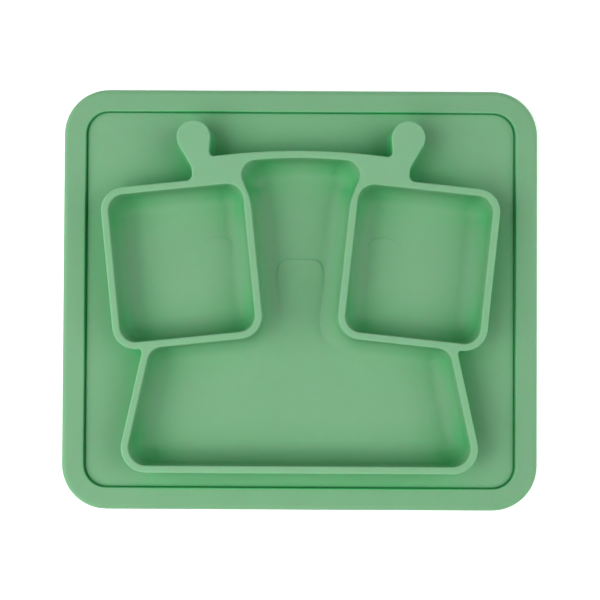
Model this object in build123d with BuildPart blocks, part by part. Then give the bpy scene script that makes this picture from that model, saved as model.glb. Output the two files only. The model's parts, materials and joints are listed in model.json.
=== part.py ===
from build123d import *
import math
import os

# A divided silicone feeding tray for a toddler, held to the table by four suction cups.
# Millimetres, +Z up, +X to the right, +Y to the back. The origin is the middle of the footprint,
# on the table under the lips of the cups.
os.makedirs("parts", exist_ok=True)

# Overall mat
mat_width = 260.0
mat_depth = 230.0
mat_corner = 24.6
border_width = 12.2
side_gap = 0.9
end_gap = 0.5

# Heights above the table
frame_underside = 2.0
boss_underside = 5.0
tray_underside = 8.0
floor_top = 11.0
border_top = 13.6
rim_top = 30.0

# Walls of the compartments
wall = 3.9
outer_draft = 1.0
pocket_inset = 1.6
pocket_fillet = 10.5
pocket_floor_corner = 12.5
foot_fillet = 1.2
rim_fillet = 0.9

# Square compartments at the back, left and right
square_width = 80.2
square_depth = 87.1
square_corner = 12.4
square_turn = 6.0
square_x = 63.4
square_y = 19.0

# Wide compartment at the front
front_edge = -92.8
front_half_width = 98.3
front_side_lean = 12.4
front_corner = 13.5
outer_junction_fillet = 1.8
junction_corner = 8.0

# Channel that runs back from it between the square ones
channel_back = 75.4
channel_corner_x = 35.0
channel_corner_y = 73.0
channel_corner_fillet = 7.6
channel_flare_y = 53.0
channel_flare_fillet = 30.0
channel_floor_corner_x = 31.5
channel_floor_corner = 12.0

# Arched wall behind the channel
arch_back = 79.3
arch_end_x = 49.2
arch_end_y = 75.9

# Two round-headed horns
horn_x = 57.5
horn_y = 86.5
horn_radius = 9.0
neck_x = 58.2
neck_y = 69.6
neck_fillet = 8.0
horn_inner_fillet = 2.6
horn_outer_fillet = 3.3

# Shallow raised marks on the compartment floors
mark_radius = 12.0
mark_x = 45.0
mark_y = 22.0
mark_slope = 1.9
channel_mark_half_width = 14.8
channel_mark_top_half_width = 11.6
channel_mark_corner = 6.0
channel_mark_flare = 60.0
channel_mark_shoulder = 24.0
channel_mark_back = 22.0
channel_mark_length = 47.0
channel_mark_slope = 0.6
mark_root = 1.5

# Tongue round the tray's edge, with a bead, gripped by a groove in the frame
tongue_reach = 4.4
tongue_thickness = 2.2
bead_width = 1.8
bead_height = 1.0
groove_relief = 0.2

# Frame section
frame_outer_round = 3.0
frame_inner_round = 0.8
frame_foot_round = 1.0
frame_channel_width = 5.0
frame_channel_depth = 4.5
frame_channel_inset = 3.4

# Suction cups and their sockets
cup_x = 91.0
cup_y = 76.0
cup_radius = 22.0
lip_thickness = 0.8
crown_thickness = 1.3
shoulder_radius = 7.5
stem_radius = 4.0
head_radius = 5.7
head_bottom = 6.2
head_top = 8.7
head_round = 0.8
boss_radius = 10.0
boss_fillet = 1.0
stem_clearance = 0.3

cavity_height = 3.2
dome_middle_radius = 14.0
dome_middle_height = 1.9

# Values that follow from those above
tray_width = mat_width - 2 * (border_width + side_gap)
tray_depth = mat_depth - 2 * (border_width + end_gap)
tray_corner = mat_corner - border_width - side_gap
wall_height = rim_top - floor_top
opening_width = mat_width - 2 * border_width
opening_depth = mat_depth - 2 * border_width
opening_corner = mat_corner - border_width
tongue_width = opening_width + 2 * tongue_reach
tongue_depth = opening_depth + 2 * tongue_reach
tongue_corner = opening_corner + tongue_reach
groove_width = tongue_width + 2 * groove_relief
groove_depth = tongue_depth + 2 * groove_relief
groove_corner = tongue_corner + groove_relief
height_tolerance = 0.01
turn = math.radians(square_turn)
lean = math.radians(front_side_lean)
cup_places = {
    "suction_cup_front_left": (-cup_x, -cup_y),
    "suction_cup_front_right": (cup_x, -cup_y),
    "suction_cup_rear_left": (-cup_x, cup_y),
    "suction_cup_rear_right": (cup_x, cup_y),
}


def square_point(across, back, outset=0.0):
    """Corner of the left square compartment's outer faces, moved out by outset.

    across is -1 for its left side and 1 for its right, and back is -1 for its front and 1 for its back.
    """
    half_x = across * (square_width / 2 + outset)
    half_y = back * (square_depth / 2 + outset)
    x = -square_x + half_x * math.cos(turn) - half_y * math.sin(turn)
    y = square_y + half_x * math.sin(turn) + half_y * math.cos(turn)
    return (x, y)


def square_front_y(x, outset):
    """Y, at x, of its outer front face, moved out by outset."""
    corner = square_point(-1, -1, outset)
    return corner[1] + (x - corner[0]) * math.tan(turn)


def front_side(y, inset):
    """Point at y on the left side wall of the front compartment, inset from its outer face."""
    x = -front_half_width + (y - front_edge) * math.tan(lean) + inset / math.cos(lean)
    return (x, y)


def square_back_y(x):
    """Y, at x, of its outer back face."""
    corner = square_point(-1, 1)
    return corner[1] + (x - corner[0]) * math.tan(turn)


def side_junction(inset, outset=0.0):
    """Where that side wall, inset, meets the square compartment's front face, moved out by outset."""
    x = front_side(square_point(-1, -1)[1], inset)[0]
    return front_side(square_front_y(x, outset), inset)


def channel_side(y, inset):
    """Point at y on the channel's left side, the square compartment's outer right face, moved in by inset."""
    corner = square_point(1, 1, inset)
    return (corner[0] + (corner[1] - y) * math.tan(turn), y)


def horn_tangent(x, y, side):
    """Where the line from (x, y) touches the horn's round head, on its left (-1) or right (1)."""
    distance = math.hypot(-horn_x - x, horn_y - y)
    towards_head = math.atan2(horn_y - y, -horn_x - x)
    direction = towards_head - side * math.asin(horn_radius / distance)
    reach = math.sqrt(distance**2 - horn_radius**2)
    return (x + reach * math.cos(direction), y + reach * math.sin(direction))


def at_height(edges, height):
    """The edges that lie in the horizontal plane at this height, from left to right."""
    level = edges.filter_by_position(Axis.Z, height - height_tolerance, height + height_tolerance)
    return level.sort_by(Axis.X)


def has_hole(face):
    """Whether the face has a loop inside its outline."""
    return len(face.inner_wires()) > 0


def sloped_plane(x, y, slope):
    """A plane through the compartments' floor that rises towards the back."""
    angle = math.radians(slope)
    upwards = (0, -math.sin(angle), math.cos(angle))
    return Plane(origin=(x, y, floor_top), x_dir=(1, 0, 0), z_dir=upwards)


def draw_front_pocket(back_y, corners, radii):
    """Outline of the front compartment and its channel: the left half, from the back, and its mirror."""
    back_corner = corners[0]
    with BuildLine() as half:
        ThreePointArc(
            (0, back_y),
            (back_corner[0] / 2, back_y - (back_y - back_corner[1]) / 4),
            back_corner,
        )
        FilletPolyline(*corners, (0, corners[-1][1]), radius=radii[1:])
        fillet(half.vertices().sort_by_distance(back_corner)[0], radii[0])
        mirror(about=Plane.YZ)
    make_face(half.edges())


# Divided tray: floor, compartment walls, horns and cup bosses in one moulding
with BuildPart() as divided_tray:
    # block of the walls: the left half of each shape, then the mirror image
    with BuildSketch(Plane.XY.offset(rim_top)) as block:
        with Locations((-square_x, square_y)):
            RectangleRounded(square_width, square_depth, square_corner, rotation=square_turn)
        with BuildLine():
            FilletPolyline(
                (0, front_edge),
                (-front_half_width, front_edge),
                front_side(square_y, 0),
                radius=front_corner,
            )
            Polyline(front_side(square_y, 0), (0, square_y), (0, front_edge))
        make_face()
        with BuildLine():
            ThreePointArc(
                (0, arch_back),
                (-arch_end_x / 2, arch_back - (arch_back - arch_end_y) / 4),
                (-arch_end_x, arch_end_y),
            )
            Polyline(
                (-arch_end_x, arch_end_y),
                (-neck_x, arch_end_y),
                (-neck_x, square_y),
                (0, square_y),
                (0, arch_back),
            )
        make_face()
        with Locations((-horn_x, horn_y)):
            Circle(horn_radius)
        with BuildLine():
            Polyline(
                horn_tangent(-neck_x, neck_y, -1),
                (-neck_x, neck_y),
                (-arch_end_x, arch_end_y),
                horn_tangent(-arch_end_x, arch_end_y, 1),
                (-horn_x, horn_y),
                horn_tangent(-neck_x, neck_y, -1),
            )
        make_face()
        for corner_place, corner_fillet in (
            ((-neck_x, neck_y), neck_fillet),
            ((-neck_x, square_back_y(-neck_x)), horn_outer_fillet),
            ((-arch_end_x, arch_end_y), horn_inner_fillet),
            (side_junction(0), outer_junction_fillet),
        ):
            corner = block.vertices().sort_by_distance(corner_place)[0]
            fillet(corner, corner_fillet)
        mirror(about=Plane.YZ)
    extrude(amount=-wall_height, taper=-outer_draft)
    with BuildSketch(Plane.XY.offset(tray_underside)):
        RectangleRounded(tray_width, tray_depth, tray_corner)
    extrude(amount=floor_top - tray_underside)
    floor_face = divided_tray.faces().filter_by(Axis.Z).filter_by(has_hole)[0]
    fillet(floor_face.inner_wires()[0].edges(), foot_fillet)

    # two square compartments, narrower at the floor than at the rim
    for side in (-1, 1):
        for height, inset, corner_radius in (
            (rim_top, wall, square_corner - wall),
            (floor_top, wall + pocket_inset, pocket_floor_corner),
        ):
            with BuildSketch(Plane.XY.offset(height)):
                with Locations((side * square_x, square_y)):
                    RectangleRounded(
                        square_width - 2 * inset,
                        square_depth - 2 * inset,
                        corner_radius,
                        rotation=-side * square_turn,
                    )
        loft(mode=Mode.SUBTRACT)
        fillet(at_height(divided_tray.edges(Select.LAST), floor_top), pocket_fillet)

    # front compartment and its channel
    with BuildSketch(Plane.XY.offset(rim_top)):
        draw_front_pocket(
            channel_back,
            [
                (-channel_corner_x, channel_corner_y),
                channel_side(channel_flare_y, 0),
                square_point(1, -1),
                side_junction(wall),
                front_side(front_edge + wall, wall),
            ],
            [
                channel_corner_fillet,
                channel_flare_fillet,
                square_corner,
                junction_corner,
                front_corner - wall,
            ],
        )
    with BuildSketch(Plane.XY.offset(floor_top)):
        draw_front_pocket(
            channel_back - pocket_inset,
            [
                (-channel_floor_corner_x, channel_corner_y - pocket_inset),
                channel_side(channel_flare_y, pocket_inset),
                square_point(1, -1, pocket_inset),
                side_junction(wall + pocket_inset, pocket_inset),
                front_side(front_edge + wall + pocket_inset, wall + pocket_inset),
            ],
            [
                channel_floor_corner,
                channel_flare_fillet,
                square_corner + pocket_inset,
                pocket_floor_corner,
                pocket_floor_corner,
            ],
        )
    loft(mode=Mode.SUBTRACT)
    fillet(at_height(divided_tray.edges(Select.LAST), floor_top), pocket_fillet)
    fillet(at_height(divided_tray.edges(), rim_top), rim_fillet)

    # shallow raised marks, highest at the back and fading out to the front
    for side in (-1, 1):
        with BuildSketch(sloped_plane(side * mark_x, mark_y, mark_slope)):
            Circle(mark_radius)
        extrude(amount=-mark_root)
    with BuildSketch(sloped_plane(0, channel_mark_back - channel_mark_length, channel_mark_slope)):
        with BuildLine():
            FilletPolyline(
                (-channel_mark_half_width, 0),
                (-channel_mark_half_width, channel_mark_shoulder),
                (-channel_mark_top_half_width, channel_mark_length),
                (channel_mark_top_half_width, channel_mark_length),
                (channel_mark_half_width, channel_mark_shoulder),
                (channel_mark_half_width, 0),
                radius=[channel_mark_flare, channel_mark_corner, channel_mark_corner, channel_mark_flare],
            )
            Line((-channel_mark_half_width, 0), (channel_mark_half_width, 0))
        make_face()
    extrude(amount=-mark_root)

    # tongue round the edge, with its bead
    with BuildSketch(Plane.XY.offset(tray_underside)):
        RectangleRounded(tongue_width, tongue_depth, tongue_corner)
    extrude(amount=tongue_thickness)
    with BuildSketch(Plane.XY.offset(tray_underside + tongue_thickness)):
        RectangleRounded(tongue_width, tongue_depth, tongue_corner)
        RectangleRounded(
            tongue_width - 2 * bead_width,
            tongue_depth - 2 * bead_width,
            tongue_corner - bead_width,
            mode=Mode.SUBTRACT,
        )
    extrude(amount=bead_height)

    # bosses under the floor, with an undercut socket for each cup's stem
    with BuildSketch(Plane.XY.offset(boss_underside)):
        with Locations(*cup_places.values()):
            Circle(boss_radius)
    extrude(amount=tray_underside - boss_underside)
    fillet(at_height(divided_tray.edges(), boss_underside), boss_fillet)
    with BuildSketch(Plane.XY.offset(boss_underside)):
        with Locations(*cup_places.values()):
            Circle(stem_radius + stem_clearance)
    extrude(amount=head_bottom - boss_underside, mode=Mode.SUBTRACT)
    with BuildSketch(Plane.XY.offset(head_bottom)):
        with Locations(*cup_places.values()):
            Circle(head_radius + stem_clearance)
    extrude(amount=head_top + stem_clearance - head_bottom, mode=Mode.SUBTRACT)
divided_tray.part.label = "divided_tray"
export_step(divided_tray.part, "parts/divided_tray.step")

# Border frame: a ring round the mat that stands proud of the floor and hangs down round the cups
with BuildPart() as border_frame:
    with BuildSketch(Plane.XY.offset(frame_underside)):
        RectangleRounded(mat_width, mat_depth, mat_corner)
        RectangleRounded(opening_width, opening_depth, opening_corner, mode=Mode.SUBTRACT)
    extrude(amount=border_top - frame_underside)
    fillet(border_frame.faces().sort_by(Axis.Z)[-1].outer_wire().edges(), frame_outer_round)
    fillet(border_frame.faces().sort_by(Axis.Z)[-1].inner_wires()[0].edges(), frame_inner_round)
    fillet(at_height(border_frame.edges(), frame_underside), frame_foot_round)

    # channel in the underside
    with BuildSketch(Plane.XY.offset(frame_underside)):
        RectangleRounded(
            opening_width + 2 * (frame_channel_inset + frame_channel_width),
            opening_depth + 2 * (frame_channel_inset + frame_channel_width),
            opening_corner + frame_channel_inset + frame_channel_width,
        )
        RectangleRounded(
            opening_width + 2 * frame_channel_inset,
            opening_depth + 2 * frame_channel_inset,
            opening_corner + frame_channel_inset,
            mode=Mode.SUBTRACT,
        )
    extrude(amount=frame_channel_depth, mode=Mode.SUBTRACT)

    # groove for the tray's tongue, and the pocket above it for the bead
    with BuildSketch(Plane.XY.offset(tray_underside)):
        RectangleRounded(groove_width, groove_depth, groove_corner)
    extrude(amount=tongue_thickness, mode=Mode.SUBTRACT)
    with BuildSketch(Plane.XY.offset(tray_underside + tongue_thickness)):
        RectangleRounded(groove_width, groove_depth, groove_corner)
        RectangleRounded(
            tongue_width - 2 * (bead_width + groove_relief),
            tongue_depth - 2 * (bead_width + groove_relief),
            tongue_corner - bead_width - groove_relief,
            mode=Mode.SUBTRACT,
        )
    extrude(amount=bead_height, mode=Mode.SUBTRACT)
border_frame.part.label = "border_frame"
export_step(border_frame.part, "parts/border_frame.step")

# Suction cups: a thin dome with a flat lip, and a stem whose head buttons into the tray's socket
for cup_name, (x, y) in cup_places.items():
    with BuildPart() as suction_cup:
        with BuildSketch(Plane(origin=(x, y, 0), x_dir=(1, 0, 0), z_dir=(0, -1, 0))):
            with BuildLine():
                Polyline(
                    (cup_radius - lip_thickness, 0),
                    (cup_radius, 0),
                    (cup_radius, lip_thickness),
                )
                ThreePointArc(
                    (cup_radius, lip_thickness),
                    (dome_middle_radius, dome_middle_height + crown_thickness),
                    (shoulder_radius, boss_underside),
                )
                Polyline(
                    (shoulder_radius, boss_underside),
                    (stem_radius, boss_underside),
                    (stem_radius, head_bottom),
                    (head_radius, head_bottom),
                    (head_radius, head_top - head_round),
                    (head_radius - head_round, head_top),
                    (0, head_top),
                    (0, cavity_height),
                )
                ThreePointArc(
                    (0, cavity_height),
                    (dome_middle_radius, dome_middle_height),
                    (cup_radius - lip_thickness, 0),
                )
            make_face()
        revolve(axis=Axis((x, y, 0), (0, 0, 1)))
    suction_cup.part.label = cup_name
    export_step(suction_cup.part, f"parts/{cup_name}.step")
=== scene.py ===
"""A divided silicone feeding tray on suction cups, seen from above."""

import json
import math

import bmesh
import bpy
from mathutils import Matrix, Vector


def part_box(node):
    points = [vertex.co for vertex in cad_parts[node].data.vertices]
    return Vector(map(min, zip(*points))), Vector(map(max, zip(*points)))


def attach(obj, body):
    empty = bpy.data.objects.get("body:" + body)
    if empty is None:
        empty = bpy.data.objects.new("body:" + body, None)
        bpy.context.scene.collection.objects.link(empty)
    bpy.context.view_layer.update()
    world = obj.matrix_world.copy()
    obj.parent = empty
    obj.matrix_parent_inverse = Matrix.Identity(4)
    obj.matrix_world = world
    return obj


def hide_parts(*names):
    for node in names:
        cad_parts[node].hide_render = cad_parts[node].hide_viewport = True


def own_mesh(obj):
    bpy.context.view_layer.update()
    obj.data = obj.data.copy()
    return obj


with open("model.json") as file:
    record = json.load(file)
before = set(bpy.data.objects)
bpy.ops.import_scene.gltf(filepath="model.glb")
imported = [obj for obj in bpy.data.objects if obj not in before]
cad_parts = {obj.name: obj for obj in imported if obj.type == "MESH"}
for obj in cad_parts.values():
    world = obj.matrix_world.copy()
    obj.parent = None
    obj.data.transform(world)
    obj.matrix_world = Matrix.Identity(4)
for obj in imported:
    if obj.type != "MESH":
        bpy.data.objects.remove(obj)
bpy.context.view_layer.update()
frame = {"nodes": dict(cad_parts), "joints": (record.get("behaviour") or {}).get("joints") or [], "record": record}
scene = bpy.context.scene
scene.view_settings.view_transform = "Standard"

# Camera
CAMERA_DISTANCE = 0.636
CAMERA_TILT = math.radians(1.05)
CAMERA_ROLL = math.radians(0.3)
LENS = 69.8
SENSOR = 36.0
AIM = Vector((0, -0.0002, 0.0136))

# Linear colours of the silicone: in the open, its darker mottling, painted shade for corners and hollows,
# and painted light that makes the tops of the walls paler
TRAY_GREEN = (0.180, 0.386, 0.211)
TRAY_MOTTLE = (0.168, 0.372, 0.199)
TRAY_PAINTED_SHADE = (0.038, 0.366, 0.112)
TRAY_PAINTED_TOP_LIGHT = (0.200, 0.420, 0.236)
# the cups' own green and mottling, their painted shade, and a painted top light that is only their own green
CUP_GREEN = (0.230, 0.470, 0.270)
CUP_MOTTLE = (0.205, 0.445, 0.245)
CUP_PAINTED_SHADE = (0.110, 0.400, 0.170)
CUP_PAINTED_TOP_LIGHT = CUP_GREEN

# How far round a point the painted shade looks for cover, in metres, and the share of the sky hidden from it
# where the painted shade starts and where it is full
HOLLOW_REACH = 0.030
OPEN_SHADE = 0.03
HOLLOW_SHADE = 0.90
# On a side steeper than this upward part of its normal, the hidden share counts this many times over in the
# painted shade
STEEP_FACING = 0.80
STEEP_GAIN = 1.5
# Heights between which the painted light on the walls' tops sets in
PAINTED_TOP_LIGHT_START = 0.0285
PAINTED_TOP_LIGHT_FULL = 0.0298

# Sizes of the silicone's mottling, specks, uneven gloss, blasted grain and slow ripples, in turns a metre
MOTTLE_SCALE = 38.0
SPECK_SCALE = 900.0
SPECK_SHARE = 0.35
MOTTLE_START = 0.40
MOTTLE_END = 0.90
GLOSS_SCALE = 95.0
GRAIN_SCALE = 3600.0
GRAIN_DEPTH = 0.00006
RIPPLE_SCALE = 120.0
RIPPLE_DEPTH = 0.0001


# ---------------------------------------------------------------- materials
def node(tree, kind, **settings):
    """A shader node, with its sockets and properties set by name."""
    made = tree.nodes.new(kind)
    for name, value in settings.items():
        socket = made.inputs.get(name.replace("_", " "))
        if socket is not None:
            socket.default_value = value
        else:
            setattr(made, name, value)
    return made


def value_range(tree, source, old, new):
    """The source's value eased from one range into another."""
    made = node(tree, "ShaderNodeMapRange", interpolation_type="SMOOTHSTEP")
    made.inputs["From Min"].default_value, made.inputs["From Max"].default_value = old
    made.inputs["To Min"].default_value, made.inputs["To Max"].default_value = new
    tree.links.new(source, made.inputs["Value"])
    return made.outputs["Result"]


def mixed_colour(tree, amount, base, tint):
    """The base colour with this amount of a fixed tint in place of it."""
    made = node(tree, "ShaderNodeMix", data_type="RGBA")
    before, after = [socket for socket in made.inputs if socket.type == "RGBA"]
    tree.links.new(amount, made.inputs["Factor"])
    tree.links.new(base, before)
    after.default_value = (*tint, 1)
    return next(socket for socket in made.outputs if socket.type == "RGBA")


def silicone(name, colours, rough_low, rough_high, translucency):
    """Moulded silicone: faintly mottled colour, painted light on the walls' tops, painted shade in hollows, and
    the mould's fine blasted grain.
    """
    open_colour, mottled, painted_shade, painted_top_light = colours
    material = bpy.data.materials.new(name)
    material.use_nodes = True
    tree = material.node_tree
    links = tree.links
    shader = tree.nodes["Principled BSDF"]
    place = node(tree, "ShaderNodeTexCoord")

    mottle = node(tree, "ShaderNodeTexNoise", Scale=MOTTLE_SCALE, Detail=4.0, Roughness=0.6)
    links.new(place.outputs["Object"], mottle.inputs["Vector"])
    speck = node(tree, "ShaderNodeTexNoise", Scale=SPECK_SCALE, Detail=2.0, Roughness=0.5)
    links.new(place.outputs["Object"], speck.inputs["Vector"])
    blend = node(tree, "ShaderNodeMath", operation="MULTIPLY_ADD")
    blend.inputs[1].default_value = SPECK_SHARE
    links.new(speck.outputs["Fac"], blend.inputs[0])
    links.new(mottle.outputs["Fac"], blend.inputs[2])
    colour = node(tree, "ShaderNodeValToRGB")
    colour.color_ramp.elements[0].position = MOTTLE_START
    colour.color_ramp.elements[0].color = (*mottled, 1)
    colour.color_ramp.elements[1].position = MOTTLE_END
    colour.color_ramp.elements[1].color = (*open_colour, 1)
    links.new(blend.outputs["Value"], colour.inputs["Fac"])
    height = node(tree, "ShaderNodeSeparateXYZ")
    links.new(place.outputs["Object"], height.inputs["Vector"])
    # painted light: a paler colour on the walls' tops, where the light falls most freely
    painted_top_light_amount = value_range(tree, height.outputs["Z"], (PAINTED_TOP_LIGHT_START, PAINTED_TOP_LIGHT_FULL), (0.0, 1.0))
    top_lit_colour = mixed_colour(tree, painted_top_light_amount, colour.outputs["Color"], painted_top_light)
    # painted shade: a deeper green in hollows, most of all on their steep sides
    hollows = node(tree, "ShaderNodeAmbientOcclusion", Distance=HOLLOW_REACH, samples=12)
    shade = node(tree, "ShaderNodeMath", operation="SUBTRACT")
    shade.inputs[0].default_value = 1.0
    links.new(hollows.outputs["AO"], shade.inputs[1])
    facing = node(tree, "ShaderNodeSeparateXYZ")
    links.new(place.outputs["Normal"], facing.inputs["Vector"])
    gain = value_range(tree, facing.outputs["Z"], (STEEP_FACING, 1.0), (STEEP_GAIN, 1.0))
    deepened = node(tree, "ShaderNodeMath", operation="MULTIPLY")
    links.new(shade.outputs["Value"], deepened.inputs[0])
    links.new(gain, deepened.inputs[1])
    painted_shade_amount = value_range(tree, deepened.outputs["Value"], (OPEN_SHADE, HOLLOW_SHADE), (0.0, 1.0))
    links.new(mixed_colour(tree, painted_shade_amount, top_lit_colour, painted_shade), shader.inputs["Base Color"])

    handled = node(tree, "ShaderNodeTexNoise", Scale=GLOSS_SCALE, Detail=5.0, Roughness=0.65)
    links.new(place.outputs["Object"], handled.inputs["Vector"])
    rough = node(tree, "ShaderNodeMapRange")
    rough.inputs["From Min"].default_value = 0.3
    rough.inputs["From Max"].default_value = 0.7
    rough.inputs["To Min"].default_value = rough_low
    rough.inputs["To Max"].default_value = rough_high
    links.new(handled.outputs["Fac"], rough.inputs["Value"])
    links.new(rough.outputs["Result"], shader.inputs["Roughness"])

    grain = node(tree, "ShaderNodeTexNoise", Scale=GRAIN_SCALE, Detail=3.0, Roughness=0.6)
    links.new(place.outputs["Object"], grain.inputs["Vector"])
    grain_bump = node(tree, "ShaderNodeBump", Strength=0.30, Distance=GRAIN_DEPTH)
    links.new(grain.outputs["Fac"], grain_bump.inputs["Height"])
    ripple = node(tree, "ShaderNodeTexNoise", Scale=RIPPLE_SCALE, Detail=2.0, Roughness=0.5)
    links.new(place.outputs["Object"], ripple.inputs["Vector"])
    ripple_bump = node(tree, "ShaderNodeBump", Strength=0.5, Distance=RIPPLE_DEPTH)
    links.new(ripple.outputs["Fac"], ripple_bump.inputs["Height"])
    links.new(grain_bump.outputs["Normal"], ripple_bump.inputs["Normal"])
    links.new(ripple_bump.outputs["Normal"], shader.inputs["Normal"])

    shader.inputs["IOR"].default_value = 1.41
    shader.inputs["Specular IOR Level"].default_value = 0.35
    shader.inputs["Subsurface Weight"].default_value = translucency
    shader.inputs["Subsurface Radius"].default_value = (0.12, 1.0, 0.40)
    shader.inputs["Subsurface Scale"].default_value = 0.004
    return material


tray_colours = (TRAY_GREEN, TRAY_MOTTLE, TRAY_PAINTED_SHADE, TRAY_PAINTED_TOP_LIGHT)
cup_colours = (CUP_GREEN, CUP_MOTTLE, CUP_PAINTED_SHADE, CUP_PAINTED_TOP_LIGHT)
materials = {
    "tray_silicone": silicone("tray_silicone", tray_colours, 0.52, 0.62, 0.6),
    "frame_silicone": silicone("frame_silicone", tray_colours, 0.52, 0.62, 0.6),
    "cup_silicone": silicone("cup_silicone", cup_colours, 0.28, 0.40, 0.8),
}
for part in frame["record"]["subparts"]:
    mesh = frame["nodes"][part["node"]].data
    mesh.materials.clear()
    mesh.materials.append(materials[part["material_slot"]])

# ---------------------------------------------------------------- suction cups
MM = 0.001
LIP_RADIUS = 22.0 * MM
LIP_THICKNESS = 0.8 * MM
SEAL_RADIUS = 20.6 * MM
SHOULDER_RADIUS = 7.5 * MM
SHOULDER_HEIGHT = 5.0 * MM
CAVITY_HEIGHT = 3.2 * MM
STEM_RADIUS = 4.0 * MM
HEAD_RADIUS = 5.7 * MM
HEAD_BOTTOM = 6.2 * MM
HEAD_TOP = 8.7 * MM
RIB_RADII = (19.2 * MM, 17.9 * MM, 16.6 * MM)
RIB_HEIGHT = 0.14 * MM
RIB_WIDTH = 0.22 * MM
TURN_STEPS = 128
OUTSIDE_STEPS = 40
CAVITY_STEPS = 110
LIP_STEPS = 10
HEAD_STEPS = 8
ON_AXIS = 1e-9
DOME_MIDDLE_RADIUS = 14.0 * MM
DOME_MIDDLE_OUTSIDE = 3.25 * MM
DOME_MIDDLE_CAVITY = 1.9 * MM
DOME_END_OUT = 0.3 * MM
DOME_END_DOWN = 0.25 * MM
SHOULDER_EDGE_OUT = 0.12 * MM
SHOULDER_EDGE_DOWN = 0.06 * MM
SHOULDER_EDGE_IN = 0.15 * MM
STEM_FOOT = 0.4 * MM
HEAD_ROUND = 0.8 * MM
NECK_EASE = 0.15 * MM
HEAD_EASE = 0.2 * MM
HEAD_ROUND_MIDDLE = HEAD_ROUND * (1 - math.sqrt(0.5))


def arc(start, middle, end, steps):
    """Points on the arc through three points, without the last."""
    (ax, ay), (bx, by), (cx, cy) = start, middle, end
    d = 2 * (ax * (by - cy) + bx * (cy - ay) + cx * (ay - by))
    sa, sb, sc = ax * ax + ay * ay, bx * bx + by * by, cx * cx + cy * cy
    x = (sa * (by - cy) + sb * (cy - ay) + sc * (ay - by)) / d
    y = (sa * (cx - bx) + sb * (ax - cx) + sc * (bx - ax)) / d
    radius = math.hypot(ax - x, ay - y)
    first = math.atan2(ay - y, ax - x)
    sweep = math.remainder(math.atan2(cy - y, cx - x) - first, math.tau)
    return [
        (x + radius * math.cos(first + sweep * i / steps), y + radius * math.sin(first + sweep * i / steps))
        for i in range(steps)
    ]


def lathe(name, profile, centre):
    """A closed smooth solid of revolution about a vertical axis: profile starts and ends on the axis."""
    work = bmesh.new()
    rings = []
    for radius, height in profile:
        if radius < ON_AXIS:
            rings.append([work.verts.new((centre.x, centre.y, height))])
            continue
        rings.append(
            [
                work.verts.new(
                    (
                        centre.x + radius * math.cos(math.tau * i / TURN_STEPS),
                        centre.y + radius * math.sin(math.tau * i / TURN_STEPS),
                        height,
                    )
                )
                for i in range(TURN_STEPS)
            ]
        )
    for low, high in zip(rings, rings[1:]):
        for i in range(TURN_STEPS):
            j = (i + 1) % TURN_STEPS
            corners = [low[i % len(low)], low[j % len(low)], high[j % len(high)], high[i % len(high)]]
            work.faces.new(list(dict.fromkeys(corners)))
    bmesh.ops.recalc_face_normals(work, faces=work.faces)
    mesh = bpy.data.meshes.new(name)
    work.to_mesh(mesh)
    work.free()
    for face in mesh.polygons:
        face.use_smooth = True
    made = bpy.data.objects.new(name, mesh)
    scene.collection.objects.link(made)
    return made


def rib_height(radius):
    """Height of the fine sealing ribs on the cavity's face at this radius."""
    return sum(RIB_HEIGHT * math.exp(-(((radius - rib) / RIB_WIDTH) ** 2)) for rib in RIB_RADII)


def skirt_profile():
    """The cup's dome: up its outside from the rolled lip, across the top, and back under its cavity."""
    lip_round = LIP_THICKNESS / 2
    dome_end = (SHOULDER_RADIUS + DOME_END_OUT, SHOULDER_HEIGHT - DOME_END_DOWN)
    outside = arc(
        (LIP_RADIUS - lip_round, LIP_THICKNESS),
        (DOME_MIDDLE_RADIUS, DOME_MIDDLE_OUTSIDE),
        dome_end,
        OUTSIDE_STEPS,
    )
    seal = [(SEAL_RADIUS, 0.0)]
    rolled = arc(
        (LIP_RADIUS - lip_round, 0.0),
        (LIP_RADIUS, lip_round),
        (LIP_RADIUS - lip_round, LIP_THICKNESS),
        LIP_STEPS,
    )
    shoulder = [
        dome_end,
        (SHOULDER_RADIUS + SHOULDER_EDGE_OUT, SHOULDER_HEIGHT - SHOULDER_EDGE_DOWN),
        (SHOULDER_RADIUS - SHOULDER_EDGE_IN, SHOULDER_HEIGHT),
        (STEM_RADIUS, SHOULDER_HEIGHT),
        (0.0, SHOULDER_HEIGHT),
    ]
    cavity = arc(
        (0.0, CAVITY_HEIGHT),
        (DOME_MIDDLE_RADIUS, DOME_MIDDLE_CAVITY),
        (SEAL_RADIUS, 0.0),
        CAVITY_STEPS,
    )
    ribbed = [(r, max(h - rib_height(r), 0.0)) for r, h in cavity]
    return ribbed + seal + rolled + outside + shoulder


def stem_profile():
    """The stem and its button head, which snap into the tray's socket."""
    foot = SHOULDER_HEIGHT - STEM_FOOT
    return (
        [(0.0, foot), (STEM_RADIUS, foot), (STEM_RADIUS, HEAD_BOTTOM - NECK_EASE)]
        + [(STEM_RADIUS + NECK_EASE, HEAD_BOTTOM), (HEAD_RADIUS - HEAD_EASE, HEAD_BOTTOM)]
        + [(HEAD_RADIUS, HEAD_BOTTOM + HEAD_EASE)]
        + arc(
            (HEAD_RADIUS, HEAD_TOP - HEAD_ROUND),
            (HEAD_RADIUS - HEAD_ROUND_MIDDLE, HEAD_TOP - HEAD_ROUND_MIDDLE),
            (HEAD_RADIUS - HEAD_ROUND, HEAD_TOP),
            HEAD_STEPS,
        )
        + [(HEAD_RADIUS - HEAD_ROUND, HEAD_TOP), (0.0, HEAD_TOP)]
    )


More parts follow.
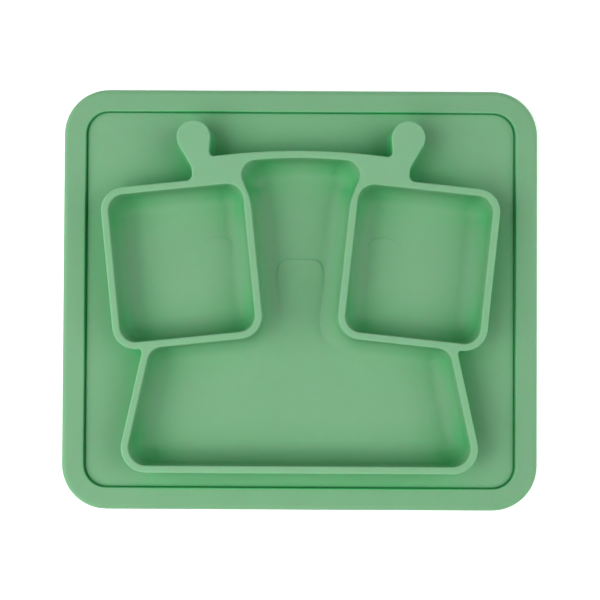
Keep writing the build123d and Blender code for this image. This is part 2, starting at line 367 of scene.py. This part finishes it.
for joint in frame["joints"]:
    cup_body = joint["child"]
    cup_node = "suction_" + cup_body
    low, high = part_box(cup_node)
    middle = (low + high) / 2
    skirt = lathe(cup_node + "_skirt", skirt_profile(), middle)
    stem = lathe(cup_node + "_stem", stem_profile(), middle)
    for piece, body in ((skirt, cup_body), (stem, "plate")):
        piece.data.materials.append(materials["cup_silicone"])
        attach(piece, body)
    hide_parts(cup_node)
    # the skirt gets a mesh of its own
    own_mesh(skirt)

# ---------------------------------------------------------------- floor and light
FLOOR_HALF = 4.0
FLOOR_WHITE = 0.93
FLOOR_GLOW = 0.45
STUDIO_FILL = 0.08
floor_mesh = bpy.data.meshes.new("floor")
floor_mesh.from_pydata(
    [
        (-FLOOR_HALF, -FLOOR_HALF, 0),
        (FLOOR_HALF, -FLOOR_HALF, 0),
        (FLOOR_HALF, FLOOR_HALF, 0),
        (-FLOOR_HALF, FLOOR_HALF, 0),
    ],
    [],
    [(0, 1, 2, 3)],
)
floor = bpy.data.objects.new("floor", floor_mesh)
scene.collection.objects.link(floor)
floor_material = bpy.data.materials.new("floor_white")
floor_material.use_nodes = True
floor_shader = floor_material.node_tree.nodes["Principled BSDF"]
floor_shader.inputs["Base Color"].default_value = (FLOOR_WHITE, FLOOR_WHITE, FLOOR_WHITE, 1)
floor_shader.inputs["Roughness"].default_value = 0.9
floor_shader.inputs["Emission Color"].default_value = (1, 1, 1, 1)
floor_shader.inputs["Emission Strength"].default_value = FLOOR_GLOW
floor_mesh.materials.append(floor_material)

world = bpy.data.worlds.new("studio")
scene.world = world
world.use_nodes = True
world.node_tree.nodes["Background"].inputs["Color"].default_value = (1, 1, 1, 1)
world.node_tree.nodes["Background"].inputs["Strength"].default_value = STUDIO_FILL


def area_light(name, place, size, power):
    """A square softbox that points at the middle of the tray."""
    data = bpy.data.lights.new(name, "AREA")
    data.shape = "SQUARE"
    data.size = size
    data.energy = power
    light = bpy.data.objects.new(name, data)
    light.location = place
    light.rotation_euler = (-Vector(place)).to_track_quat("-Z", "Y").to_euler()
    scene.collection.objects.link(light)


area_light("left", (-1.13, -0.05, 1.13), 1.3, 18.0)
area_light("right", (1.13, -0.05, 1.13), 1.3, 16.5)
area_light("front_left", (-0.72, -0.72, 1.24), 1.2, 12.5)

# ---------------------------------------------------------------- camera
camera_data = bpy.data.cameras.new("camera")
camera_data.lens = LENS
camera_data.sensor_width = SENSOR
camera = bpy.data.objects.new("camera", camera_data)
camera.location = AIM + CAMERA_DISTANCE * Vector((0, -math.sin(CAMERA_TILT), math.cos(CAMERA_TILT)))
camera.rotation_euler = (CAMERA_TILT, 0, CAMERA_ROLL)
scene.collection.objects.link(camera)
scene.camera = camera
